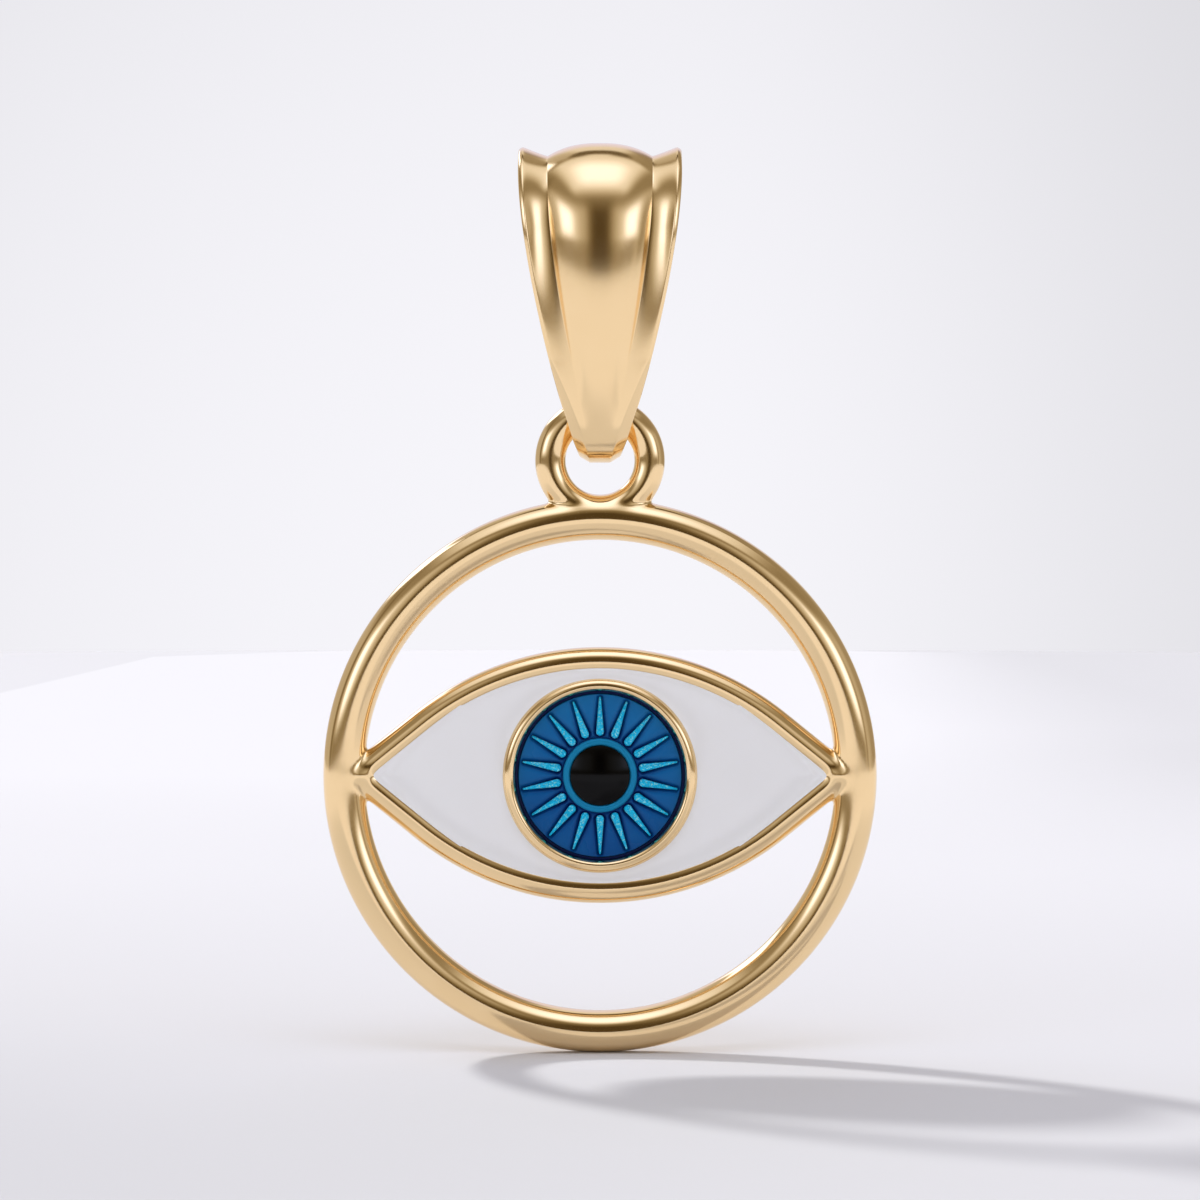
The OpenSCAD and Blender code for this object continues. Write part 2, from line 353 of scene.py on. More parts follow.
# A ring-shaped pad in the eye: a top grid whose rows run outwards, and two edges down to a level behind it,
# of which the outer one is drawn in by a share
def padMesh(name, x, y, level, back, drawn=1):
    rows, columns = x.shape
    feet = np.full(rows, back)
    top = np.stack([x, y, level], 2).reshape(-1, 3)
    outerEdge = np.stack([x[:, -1] * drawn, y[:, -1] * drawn, feet], 1)
    innerEdge = np.stack([x[:, 0], y[:, 0], feet], 1)
    faces = gridFaces(rows, columns, closeRows=True)
    outerStart, innerStart = rows * columns, rows * columns + rows
    for i in range(rows):
        k = (i + 1) % rows
        faces.append((i * columns + columns - 1, outerStart + i, outerStart + k, k * columns + columns - 1))
        faces.append((outerStart + i, innerStart + i, innerStart + k, outerStart + k))
        faces.append((innerStart + i, i * columns, k * columns, innerStart + k))
    return makeMesh(name, inEye(np.concatenate([top, outerEdge, innerEdge])), faces)


# A piece in the eye: a profile of (radius, level) turned about its axis, where a radius of 0 makes a pole
def turnedPiece(name, profile, steps, material):
    points = []
    faces = []
    rows = []
    angles = np.arange(steps) * 2 * math.pi / steps
    for radius, level in profile:
        rows.append((len(points), radius == 0))
        if radius == 0:
            points.append((0, 0, level))
        else:
            points += [(radius * math.cos(a), radius * math.sin(a), level) for a in angles]
    closed = not any(pole for start, pole in rows)
    pairs = list(zip(rows, rows[1:] + rows[:1])) if closed else list(zip(rows, rows[1:]))
    for (start, pole), (following, nextPole) in pairs:
        for j in range(steps):
            k = (j + 1) % steps
            if pole:
                faces.append((start, following + j, following + k))
            elif nextPole:
                faces.append((start + j, following, start + k))
            else:
                faces.append((start + j, following + j, following + k, start + k))
    return addPiece(name, makeMesh(name, inEye(points), faces), material)


def smooth(v):
    v = np.clip(v, 0, 1)
    return v * v * (3 - 2 * v)


# Frame: round wires joined by small solder fillets
wires = {
    "ringRadius": 7.4,
    "ringWire": 1.2,
    "ringHeight": -17.51,
    "loopRadius": 1.435,
    "loopWire": 0.88,
    "loopHeight": -8.415,
    "rimWire": 0.84,
    "eyeHeight": 7.4,
    "cornerAngle": 39,
    "cornerBar": 0.47,
    "barWire": 0.86,
    "step": 0.065,
    "sides": 40,
    "solder": 0.055,
    "settlings": 3,
}
cornerTurn = math.radians(wires["cornerAngle"])
rimRise = (wires["eyeHeight"] - wires["rimWire"]) / 2
cornerX = wires["ringRadius"] - wires["cornerBar"]
rimRadius = (cornerX * math.tan(cornerTurn) - rimRise) / (1 / math.cos(cornerTurn) - 1)
rimCentre = rimRadius - rimRise


def circlePath(radius, height, steps=900):
    angles = np.arange(steps) * 2 * math.pi / steps
    return np.stack([radius * np.sin(angles), 0 * angles, height + radius * np.cos(angles)], 1)


# Middle of one lid's wire, from corner to corner, at an inset towards the eye
def lidPath(side, inset=0, steps=240):
    angles = np.linspace(-cornerTurn, cornerTurn, steps)
    radius = rimRadius - inset
    arc = np.stack([radius * np.sin(angles), radius * np.cos(angles) - rimCentre], 1)
    tip = cornerX - inset / math.sin(cornerTurn)
    path = np.concatenate([[(-tip, 0)], arc, [(tip, 0)]])
    return np.stack([path[:, 0], 0 * path[:, 0], side * path[:, 1] + wires["ringHeight"]], 1)


# Starts a Geometry Nodes tree that makes a mesh, and returns it and its named inputs
def startTree(name, inputs):
    tree = bpy.data.node_groups.new(name, "GeometryNodeTree")
    tree.interface.new_socket("Mesh", in_out="OUTPUT", socket_type="NodeSocketGeometry")
    for label, kind in inputs.items():
        tree.interface.new_socket(label, in_out="INPUT", socket_type="NodeSocket" + kind)
    given = tree.nodes.new("NodeGroupInput")
    return [tree] + [Signal(tree, given.outputs[label]) for label in inputs]


# Ends a tree: its copies are made real and take their material
def endTree(tree, shape, metal):
    whole = addNode(tree, "GeometryNodeRealizeInstances", None, {0: shape})
    dressed = addNode(tree, "GeometryNodeSetMaterial", None, {"Geometry": whole, "Material": metal})
    result = tree.nodes.new("NodeGroupOutput")
    tree.links.new(dressed.socket, result.inputs[0])
    return tree


# A round wire along a path
def wireTree():
    inputs = {
        "Path": "Geometry",
        "Wire diameter": "Float",
        "Step": "Float",
        "Sides": "Int",
        "Metal": "Material",
    }
    tree, path, diameter, step, sides, metal = startTree("wire", inputs)
    curve = addNode(tree, "GeometryNodeMeshToCurve", None, {0: path})
    even = addNode(tree, "GeometryNodeResampleCurve", {"mode": "LENGTH"}, {"Curve": curve, "Length": step})
    section = {"Resolution": sides, "Radius": diameter * 0.5}
    ring = addNode(tree, "GeometryNodeCurvePrimitiveCircle", None, section)
    sweep = {"Curve": even, "Profile Curve": ring, "Fill Caps": True}
    return endTree(tree, addNode(tree, "GeometryNodeCurveToMesh", None, sweep), metal)


# Runs a Geometry Nodes tree on a mesh and returns the plain mesh that it makes
def grown(name, mesh, tree, values):
    carrier = addPiece(name + "_path", mesh, None)
    modifier = carrier.modifiers.new("grow", "NODES")
    modifier.node_group = tree
    for item in tree.interface.items_tree:
        if item.in_out == "INPUT" and item.name in values:
            modifier[item.identifier] = values[item.name]
    graph = bpy.context.evaluated_depsgraph_get()
    made = bpy.data.meshes.new_from_object(carrier.evaluated_get(graph))
    carrier.modifiers.remove(modifier)
    bpy.data.objects.remove(carrier)
    made.name = name
    return made


def wireMesh(name, path, diameter, closed):
    count = len(path)
    edges = [(i, i + 1) for i in range(count - 1)] + ([(count - 1, 0)] if closed else [])
    mesh = bpy.data.meshes.new(name)
    mesh.from_pydata((np.asarray(path) * mm).tolist(), edges, [])
    values = {
        "Wire diameter": diameter * mm,
        "Step": wires["step"] * mm,
        "Sides": wires["sides"],
        "Metal": gold,
    }
    return grown(name, mesh, wireShape, values)


# One piece from overlapping closed meshes
def unionOf(name, meshes):
    first = addPiece(name, meshes[0], None)
    for number, mesh in enumerate(meshes[1:]):
        tool = addPiece(f"{name}_{number}", mesh, None)
        modifier = first.modifiers.new("join", "BOOLEAN")
        modifier.operation = "UNION"
        modifier.solver = "MANIFOLD"
        modifier.object = tool
        graph = bpy.context.evaluated_depsgraph_get()
        made = bpy.data.meshes.new_from_object(first.evaluated_get(graph))
        first.modifiers.remove(modifier)
        first.data = made
        bpy.data.objects.remove(tool)
    return first


# Distances from points to each wire's surface
def wireDistances(points):
    x, y = points[:, 0], points[:, 1]
    up = points[:, 2] - wires["ringHeight"]
    across = np.abs(x)
    found = []
    for radius, height, wire in (
        (wires["ringRadius"], wires["ringHeight"], wires["ringWire"]),
        (wires["loopRadius"], wires["loopHeight"], wires["loopWire"]),
    ):
        found.append(np.hypot(np.hypot(x, points[:, 2] - height) - radius, y) - wire / 2)
    arcEnd = np.array([rimRadius * math.sin(cornerTurn), rimRadius * math.cos(cornerTurn) - rimCentre])
    corner = np.array([cornerX, 0])
    bar = np.array([wires["ringRadius"], 0])
    for side in (1, -1):
        v = up * side
        onArc = np.abs(np.hypot(across, v + rimCentre) - rimRadius)
        onLine = segmentDistance(across, v, arcEnd, corner)
        flat = np.where(np.arctan2(across, v + rimCentre) <= cornerTurn, onArc, onLine)
        found.append(np.hypot(flat, y) - wires["rimWire"] / 2)
    found.append(np.hypot(segmentDistance(across, up, corner, bar), y) - wires["barWire"] / 2)
    return np.array(found)


def segmentDistance(u, v, start, end):
    run = end - start
    along = np.clip(((u - start[0]) * run[0] + (v - start[1]) * run[1]) / (run @ run), 0, 1)
    return np.hypot(u - start[0] - along * run[0], v - start[1] - along * run[1])


# Distance to all the wires together, which swells into a fillet where they meet
def solderedDistance(points):
    soft = wires["solder"]
    return -soft * np.log(np.exp(-wireDistances(points) / soft).sum(0))


def solderedSlope(points, reach=0.0005):
    slope = []
    for axis in np.eye(3) * reach:
        slope.append((solderedDistance(points + axis) - solderedDistance(points - axis)) / (2 * reach))
    return np.stack(slope, 1)


wireShape = wireTree()
wireMeshes = [
    wireMesh("round_wire", circlePath(wires["ringRadius"], wires["ringHeight"]), wires["ringWire"], True),
    wireMesh("loop_wire", circlePath(wires["loopRadius"], wires["loopHeight"]), wires["loopWire"], True),
    wireMesh("upper_lid", lidPath(1), wires["rimWire"], False),
    wireMesh("lower_lid", lidPath(-1), wires["rimWire"], False),
]
for side in (-1, 1):
    ends = [(side * cornerX, 0, wires["ringHeight"]), (side * wires["ringRadius"], 0, wires["ringHeight"])]
    wireMeshes.append(wireMesh("corner_bar", ends, wires["barWire"], False))
framePiece = unionOf("gold_frame", wireMeshes)
mesh = framePiece.data
points = np.empty(len(mesh.vertices) * 3)
mesh.vertices.foreach_get("co", points)
points = points.reshape(-1, 3) / mm
for turn in range(wires["settlings"]):   # the surface settles onto the soldered form
    slope = solderedSlope(points)
    points -= solderedDistance(points)[:, None] * slope / (slope ** 2).sum(1)[:, None]
mesh.vertices.foreach_set("co", (points * mm).ravel())
slope = solderedSlope(points)
mesh.shade_smooth()
mesh.normals_split_custom_set_from_vertices((slope / np.linalg.norm(slope, axis=1)[:, None]).tolist())
mesh.update()
print("wires joined:", len(mesh.polygons), "faces")


# Bezel round the iris: upright walls under a rounded crest that lies nearer the inner edge
bezel = {
    "radius": 2.825,
    "wall": 0.39,
    "foot": -0.19,
    "crest": 0.56,
    "crestAt": 0.62,
    "outerDrop": 0.3,
    "innerDrop": 0.26,
    "outerSteps": 14,
    "innerSteps": 12,
    "turns": 240,
}


def bezelProfile():
    outer, inner = bezel["radius"], bezel["radius"] - bezel["wall"]
    peak = outer - bezel["wall"] * bezel["crestAt"]
    profile = [(inner, bezel["foot"]), (outer, bezel["foot"])]
    for a in np.linspace(0, math.pi / 2, bezel["outerSteps"]):
        level = bezel["crest"] - bezel["outerDrop"] * (1 - math.sin(a))
        profile.append((peak + (outer - peak) * math.cos(a), level))
    for a in np.linspace(math.pi / 2, 0, bezel["innerSteps"])[1:]:
        level = bezel["crest"] - bezel["innerDrop"] * (1 - math.sin(a))
        profile.append((peak - (peak - inner) * math.cos(a), level))
    return profile


bezelPiece = turnedPiece("iris_bezel", bezelProfile(), bezel["turns"], gold)

# Tray floor behind the eye, out to the middle of the lids' wires
tray = {
    "front": -0.1,
    "back": -0.38,
    "bevel": 0.03,
    "backShare": 0.997,
    "sharpAngle": 0.6,
}
outline = np.concatenate([lidPath(1)[:, [0, 2]], lidPath(-1)[::-1][1:-1][:, [0, 2]]])
outline[:, 1] -= wires["ringHeight"]
layers = [(1, tray["front"]), (1, tray["back"] + tray["bevel"]), (tray["backShare"], tray["back"])]
trayPoints = [(x * share, y * share, level) for share, level in layers for x, y in outline]
trayMesh = makeMesh("eye_tray", inEye(trayPoints), stackFaces(len(layers), len(outline)))
trayPiece = addPiece("eye_tray", trayMesh, gold)
trayPiece.data.set_sharp_from_angle(angle=tray["sharpAngle"])
print("bezel and tray made")


# White enamel: nearly flat, and drawn up a little where it wets the metal
white = {
    "front": 0.34,
    "back": -0.08,
    "wetRise": 0.07,
    "wetReach": 0.16,
    "settle": 0.02,
    "edgeRise": 0.05,
    "backInset": 0.16,
    "turns": 900,
    "rings": 44,
    "gap": -0.01,
    "bezelHold": 0.035,
    "sharpAngle": 0.9,
}


# How far the lid wire's surface lies inside its middle line at a level
def wireInset(level, gap):
    return math.sqrt((wires["rimWire"] / 2 + gap) ** 2 - level ** 2)


def whiteEnamelMesh():
    edge = lidPath(1, wireInset(white["front"] + white["edgeRise"], white["gap"]))[:, [0, 2]]
    edge[:, 1] -= wires["ringHeight"]
    upper = edge[::-1]
    rim = np.concatenate([upper, (upper * (1, -1))[::-1][1:-1]])
    around = np.arctan2(rim[:, 1], rim[:, 0]) % (2 * math.pi)
    reach = np.hypot(rim[:, 0], rim[:, 1])
    order = np.argsort(around)
    turns = np.arange(white["turns"]) * 2 * math.pi / white["turns"]
    outer = np.interp(turns, around[order], reach[order], period=2 * math.pi)
    inner = bezel["radius"] - white["bezelHold"]
    shares = smooth(np.linspace(0, 1, white["rings"]))
    radius = inner + (outer - inner)[:, None] * shares[None, :]
    x = radius * np.cos(turns)[:, None]
    y = radius * np.sin(turns)[:, None]
    inset = wireInset(white["front"], 0)
    fromBezel = radius - inner
    fromLid = np.hypot(x, np.abs(y) + rimCentre) - (rimRadius - inset)
    fromTip = (cornerX - np.abs(x)) * math.sin(cornerTurn) - np.abs(y) * math.cos(cornerTurn) - inset
    fromRim = np.minimum(np.abs(fromLid), np.abs(fromTip))
    lift = np.exp(-fromBezel / white["wetReach"]) + np.exp(-fromRim / white["wetReach"])
    level = white["front"] + white["wetRise"] * lift - white["settle"]
    drawn = (outer - white["backInset"]) / outer
    return padMesh("white_of_eye", x, y, level, white["back"], drawn)


whitePiece = addPiece("white_of_eye", whiteEnamelMesh(), whiteEnamel)
whitePiece.data.set_sharp_from_angle(angle=white["sharpAngle"])
print("white enamel made")


# Iris: a struck plate with rays and a ring, and blue enamel between them
iris = {
    "radius": 2.42,
    "plateBack": -0.08,
    "plateFront": 0.06,
    "rays": 18,
    "rayInner": 1.14,
    "rayOuter": 2.27,
    "rayWidth": 0.235,
    "rayTip": 0.06,
    "rayLayers": [(1, 0.1), (1, 0.22), (0.95, 0.262), (0.82, 0.29), (0.6, 0.305), (0.3, 0.31)],
    "rayFootSteps": 10,
    "raySideSteps": 12,
    "rayTipSteps": 6,
    "ringInner": 0.87,
    "ringOuter": 1.07,
    "ringFront": 0.34,
    "ringRound": 0.09,
    "ringFoot": 0.02,
    "ringSteps": 16,
    "turns": 180,
    "plateSharp": 0.6,
}
rayStart = iris["rayInner"] + iris["rayWidth"] / 2
rayEnd = iris["rayOuter"] - iris["rayTip"] / 2


# Distance outside a ray's edge, where v runs out along the ray and u across it
def rayDistance(u, v):
    nearest = np.clip(v, rayStart, rayEnd)
    share = (nearest - rayStart) / (rayEnd - rayStart)
    return np.hypot(u, v - nearest) - (iris["rayWidth"] + (iris["rayTip"] - iris["rayWidth"]) * share) / 2


# One ray, pointing up: a tapered bar with round ends whose layers draw in towards its middle line
def oneRay():
    half, tip = iris["rayWidth"] / 2, iris["rayTip"] / 2
    turns = np.linspace(math.pi, 2 * math.pi, iris["rayFootSteps"])
    foot = [(half * math.cos(a), rayStart + half * math.sin(a)) for a in turns]
    shares = np.linspace(0, 1, iris["raySideSteps"])[1:-1]
    side = [(half + (tip - half) * s, rayStart + (rayEnd - rayStart) * s) for s in shares]
    turns = np.linspace(0, math.pi, iris["rayTipSteps"])
    end = [(tip * math.cos(a), rayEnd + tip * math.sin(a)) for a in turns]
    outline = np.array(foot + side + end + [(-x, y) for x, y in side[::-1]])
    spine = np.stack([0 * outline[:, 0], np.clip(outline[:, 1], rayStart, rayEnd)], 1)
    layers = []
    for share, level in iris["rayLayers"]:
        drawn = spine + (outline - spine) * share
        layers.append(np.column_stack([drawn[:, 0], np.full(len(drawn), -level), drawn[:, 1]]))
    return makeMesh("ray", np.concatenate(layers), stackFaces(len(layers), len(outline)))


# Copies of one ray, turned evenly about the eye's axis
def rayTree():
    inputs = {"Ray": "Geometry", "Rays": "Int", "Metal": "Material"}
    tree, ray, number, metal = startTree("rays", inputs)
    points = addNode(tree, "GeometryNodePoints", None, {"Count": number})
    index = addNode(tree, "GeometryNodeInputIndex")
    turn = addNode(tree, "ShaderNodeCombineXYZ", None, {"Y": index * (2 * math.pi) / number})
    copies = {"Points": points, "Instance": ray, "Rotation": turn}
    return endTree(tree, addNode(tree, "GeometryNodeInstanceOnPoints", None, copies), metal)


# Gives a mesh one number at each point
def carry(mesh, name, values):
    mesh.attributes.new(name, "FLOAT", "POINT").data.foreach_set("value", np.asarray(values, np.float32))


rayMesh = grown("rays", oneRay(), rayTree(), {"Rays": iris["rays"], "Metal": struckBlue})
for vertex in rayMesh.vertices:
    vertex.co.z += wires["ringHeight"] * mm
carry(rayMesh, "sparkle", [1] * len(rayMesh.vertices))
rayPiece = addPiece("iris_rays", rayMesh, struckBlue)

plateProfile = [(0, iris["plateBack"]), (iris["radius"], iris["plateBack"])]
plateProfile += [(iris["radius"], iris["plateFront"]), (0, iris["plateFront"])]
platePiece = turnedPiece("iris_plate", plateProfile, iris["turns"], struckBlue)
platePiece.data.set_sharp_from_angle(angle=iris["plateSharp"])

middle = (iris["ringInner"] + iris["ringOuter"]) / 2
halfRing = (iris["ringOuter"] - iris["ringInner"]) / 2
shoulder = iris["ringFront"] - iris["ringRound"]
ringProfile = [(iris["ringOuter"], iris["ringFoot"]), (iris["ringOuter"], shoulder)]
for a in np.linspace(0, math.pi, iris["ringSteps"])[1:-1]:
    ringProfile.append((middle + halfRing * math.cos(a), shoulder + iris["ringRound"] * math.sin(a)))
ringProfile += [(iris["ringInner"], shoulder), (iris["ringInner"], iris["ringFoot"])]
ringPiece = turnedPiece("pupil_ring", ringProfile, iris["turns"], struckBlue)

# Blue enamel: a channel beside each ray and round the ring, petals that rise between, and a sunk border
blue = {
    "front": 0.25,
    "aboveRing": 0.004,
    "pastRadius": 0.03,
    "abovePlate": 0.005,
    "border": 0.085,
    "borderSlope": 0.04,
    "borderDepth": 0.1,
    "channelWidth": 0.1,
    "channelDepth": 0.09,
    "ringChannel": 0.12,
    "ringChannelShare": 0.7,
    "petalReach": 0.2,
    "petalRise": 0.025,
    "shadeReach": 0.21,
    "shadePower": 1.2,
    "shadeThinning": 0.62,
    "ringShade": 0.85,
    "turnsPerRay": 40,
    "rings": 76,
    "sharpAngle": 1.0,
}


def blueEnamelMesh():
    count = iris["rays"] * blue["turnsPerRay"]
    turns = np.arange(count) * 2 * math.pi / count + math.pi / 2
    inner, outer = iris["ringOuter"] + blue["aboveRing"], iris["radius"] + blue["pastRadius"]
    radii = np.linspace(inner, outer, blue["rings"])[None, :]
    step = 2 * math.pi / iris["rays"]
    local = (turns[:, None] - math.pi / 2 + step / 2) % step - step / 2
    away = rayDistance(radii * np.sin(local), radii * np.cos(local))
    edge = smooth((radii - (iris["radius"] - blue["border"])) / blue["borderSlope"])
    nearRing = 1 - smooth((radii - inner) / blue["ringChannel"])
    channel = np.maximum(1 - smooth(away / blue["channelWidth"]), blue["ringChannelShare"] * nearRing)
    petal = smooth(away / blue["petalReach"]) * blue["petalRise"]
    level = blue["front"] + petal - blue["channelDepth"] * channel * (1 - edge)
    level = level - (blue["borderDepth"] + petal) * edge
    outward = smooth((radii - iris["rayInner"]) / (iris["rayOuter"] - iris["rayInner"]))
    # Painted shade beside each ray, widest at its inner end and thinner outwards, and round the ring
    shade = (1 - smooth(away / blue["shadeReach"])) ** blue["shadePower"]
    shade = shade * (1 - blue["shadeThinning"] * outward)
    deep = np.maximum(np.maximum(shade, blue["ringShade"] * nearRing), edge)
    x = radii * np.cos(turns)[:, None]
    y = radii * np.sin(turns)[:, None]
    made = padMesh("blue_ground", x, y, level, iris["plateFront"] + blue["abovePlate"])
    carry(made, "deep", np.concatenate([deep.ravel(), np.ones(2 * count)]))
    return made


bluePiece = addPiece("blue_ground", blueEnamelMesh(), blueEnamel)
bluePiece.data.set_sharp_from_angle(angle=blue["sharpAngle"])

pupil = {
    "radius": 0.85,
    "front": 0.48,
    "dome": 0.18,
    "back": 0.08,
    "domeSteps": 40,
    "turns": 180,
    "sharpAngle": 0.8,
}
domeRadius = (pupil["radius"] ** 2 + pupil["dome"] ** 2) / (2 * pupil["dome"])
domeTurn = math.asin(pupil["radius"] / domeRadius)
pupilProfile = [(0, pupil["front"])]
for a in np.linspace(0, domeTurn, pupil["domeSteps"])[1:]:
    pupilProfile.append((domeRadius * math.sin(a), pupil["front"] - domeRadius * (1 - math.cos(a))))
pupilProfile += [(pupil["radius"], pupil["back"]), (0, pupil["back"])]
pupilPiece = turnedPiece("black_pupil", pupilProfile, pupil["turns"], blackEnamel)
pupilPiece.data.set_sharp_from_angle(angle=pupil["sharpAngle"])
print("iris and pupil made")


# Bail: a closed loft of sections round an egg-shaped side view
bail = {
    "top": 0.75,
    "height": 9.23,
    "width": 4.7,
    "depth": 4.0,
    "crown": 3.05,
    "wall": 0.75,
    "tipRadius": 1.05,
    "tipWidth": 1.22,
    "shoulder": 0.7,
    "taper": 1.68,
    "domeRise": 0.37,
    "domeSwell": 0.13,
    "rimShare": 0.28,
    "bevelSlope": 0.6,
    "bevelRound": 0.02,
    "innerBevel": 0.34,
    "saddle": 0.3,
    "innerTip": 0.6,
    "pivot": -6.98,
    "domeShare": 0.642,
    "domeNarrowing": 0.3,
    "fadeTo": 0.9,
    "fadePower": 4,
    "fadeSoftness": 1.5,
    "swellTo": 0.22,
    "climbTo": 1,
    "domePower": 2.5,
    "groovePower": 1.15,
    "groovePowerGain": 0.95,
    "ridgeShare": 0.95,
    "ridgeFrom": 0.67,
    "ridgeClosing": 1.42,
    "edgeRound": 0.05,
    "hornRound": 0.07,
    "hornReach": 0.1,
    "domeSteps": 30,
    "domeCrowding": 1.15,
    "grooveSteps": 25,
    "bevelShares": (0.08, 0.18, 0.33, 0.6, 1),
    "insideSteps": 17,
    "cornerSteps": 6,
    "crownTurns": 60,
    "leafTurns": 60,
    "tipTurns": 28,
}


# Side view of the bail, a half ellipse over two leaf arcs and a round tip: the points where the outward
# normal stands at each angle
class EggShape:
    def __init__(self, depth, crown, tip, tipAt):
        self.depth = depth
        self.crown = crown
        self.tip = tip
        self.tipAt = tipAt
        self.deep = bail["top"] - bail["crown"]
        drop = self.deep - tipAt
        self.leaf = (drop ** 2 + depth ** 2 - tip ** 2) / (2 * (depth - tip))
        self.reach = math.asin(drop / (self.leaf - tip))

    def at(self, angle):
        c, s = np.cos(angle), np.sin(angle)
        n = np.sqrt((self.depth * c) ** 2 + (self.crown * s) ** 2)
        forwards = np.where(c < 0, 1, -1) * (self.leaf * np.abs(c) - self.leaf + self.depth)
        upper = np.stack([-self.depth ** 2 * c / n, self.deep + self.crown ** 2 * s / n], -1)
        middle = np.stack([forwards, self.deep + self.leaf * s], -1)
        lower = np.stack([-self.tip * c, self.tipAt + self.tip * s], -1)
        high = (s >= 0)[..., None]
        long = (np.abs(s) <= math.sin(self.reach))[..., None]
        return np.where(high, upper, np.where(long, middle, lower))


tipMiddle = bail["top"] - bail["height"] + bail["tipRadius"]
insideDepth, insideCrown = bail["depth"] / 2 - bail["wall"], bail["crown"] - bail["wall"]
outerEgg = EggShape(bail["depth"] / 2, bail["crown"], bail["tipRadius"], tipMiddle)
innerEgg = EggShape(insideDepth, insideCrown, bail["innerTip"], bail["pivot"])


# Share of the way from the shoulders down to the tip, and half the bail's width there
def shareDown(z):
    return np.clip((bail["top"] - bail["shoulder"] - z) / (bail["height"] - bail["shoulder"]), 0, 1)


def halfWidth(z):
    return bail["width"] / 2 * (1 - (1 - bail["tipWidth"] / bail["width"]) * shareDown(z) ** bail["taper"])


# Shares of the half width at which the grooves and the ridges lie, d of the way down
def valleyAt(d):
    return bail["domeShare"] - bail["domeNarrowing"] * d ** 3


def ridgeAt(d):
    return bail["ridgeShare"] - bail["ridgeClosing"] * np.maximum(0, d - bail["ridgeFrom"])


# How far the outside lies below its crest line, at share u of the half width w and d of the way down
def reliefDrop(u, d, w):
    valley, ridge = valleyAt(d), ridgeAt(d)
    side = np.abs(u)
    v = np.clip(side / valley, 0, 1)
    t = np.clip((side - valley) / (ridge - valley), 0, 1)
    swell = smooth(d / bail["swellTo"])
    rise = bail["domeRise"] + bail["domeSwell"] * swell
    climb = (1 - bail["rimShare"]) * (1 - smooth(d / bail["climbTo"]))
    groove = 1 - climb * t ** (bail["groovePower"] + bail["groovePowerGain"] * swell)
    fade = np.maximum(0, 1 - (d / bail["fadeTo"]) ** bail["fadePower"]) ** bail["fadeSoftness"]
    past = side - ridge
    bevel = (past + np.hypot(past, bail["bevelRound"])) / 2 * bail["bevelSlope"] * w
    return fade * rise * np.where(side < valley, v ** bail["domePower"], groove) + bevel


# Angles of the sections, from the tip up the front, over the crown and down the back
def bailAngles():
    crownTurns, leafTurns, tipTurns = bail["crownTurns"], bail["leafTurns"], bail["tipTurns"]
    crown = math.pi / 2 * np.arange(1, crownTurns + 1) / crownTurns
    crown = np.arctan2(outerEgg.depth * np.sin(crown), outerEgg.crown * np.cos(crown))
    leaf = -outerEgg.reach * (leafTurns - np.arange(leafTurns)) / leafTurns
    tip = -math.pi / 2 + (math.pi / 2 - outerEgg.reach) * np.arange(tipTurns) / tipTurns
    front = np.concatenate([tip, leaf, [0], crown])
    back = math.pi - front[-2:0:-1]
    return np.concatenate([front, back])


# A surface round the bail: points across from a line in its side view, and under that line by a depth
def roundBail(across, line, normal, depth):
    y, z = (line[:, i:i + 1] - normal[:, i:i + 1] * depth for i in range(2))
    return np.stack([across, y, z], 2)


def bailMesh():
    angles = bailAngles()
    out, inn = outerEgg.at(angles), innerEgg.at(angles)
    normal = np.stack([-np.cos(angles), np.sin(angles)], 1)
    down = shareDown(out[:, 1])
    valley = valleyAt(down)
    ridge = ridgeAt(down)
    width = halfWidth(out[:, 1])
    domeShares = np.sin(np.linspace(0, math.pi / 2, bail["domeSteps"])) ** bail["domeCrowding"]
    rows = [v * valley for v in domeShares]
    rows += [valley + (ridge - valley) * t for t in np.linspace(0, 1, bail["grooveSteps"])[1:]]
    rows += [ridge + (1 - ridge) * t for t in bail["bevelShares"]]
    right = np.stack(rows, 1)
    across = np.concatenate([-right[:, :0:-1], right], 1)
    drop = reliefDrop(across, down[:, None], width[:, None])
    outer = roundBail(across * width[:, None], out, normal, drop)
    bevel = 1 - bail["innerBevel"] * smooth(down)
    tipShare = np.sqrt(np.maximum(0, -np.sin(angles)))
    shares = np.linspace(1, -1, bail["insideSteps"])
    innerWidth = halfWidth(inn[:, 1]) * bevel
    sink = bail["saddle"] * tipShare[:, None] * shares[None, :] ** 2
    inner = roundBail(shares[None, :] * innerWidth[:, None], inn, normal, -sink)
    past = smooth(down / bail["hornReach"])
    radius = bail["hornRound"] + (bail["edgeRound"] - bail["hornRound"]) * past
    loop = roundedLoop(outer, inner, radius[:, None])
    count, columns = loop.shape[:2]
    faces = gridFaces(count, columns, closeRows=True, closeColumns=True)
    return makeMesh("gold_bail", loop.reshape(-1, 3), faces)


# Joins the outer and the inner surface across the walls, with each edge rounded
def roundedLoop(outer, inner, radius):
    def unit(v):
        return v / np.linalg.norm(v, axis=-1, keepdims=True)

    def corner(before, at, after):
        first = at + unit(before - at) * radius
        last = at + unit(after - at) * radius
        steps = np.linspace(0, 1, bail["cornerSteps"])[:, None, None]
        curve = (1 - steps) ** 2 * first + 2 * steps * (1 - steps) * at + steps ** 2 * last
        return np.swapaxes(curve, 0, 1)

    outR, outL, inR, inL = outer[:, -1], outer[:, 0], inner[:, 0], inner[:, -1]
    pieces = [
        outer[:, 2:-2],
        corner(outer[:, -3], outR, inR),
        corner(outR, inR, inner[:, 1]),
        inner[:, 1:-1],
        corner(inner[:, -2], inL, outL),
        corner(inL, outL, outer[:, 2]),
    ]
    return np.concatenate(pieces, 1)


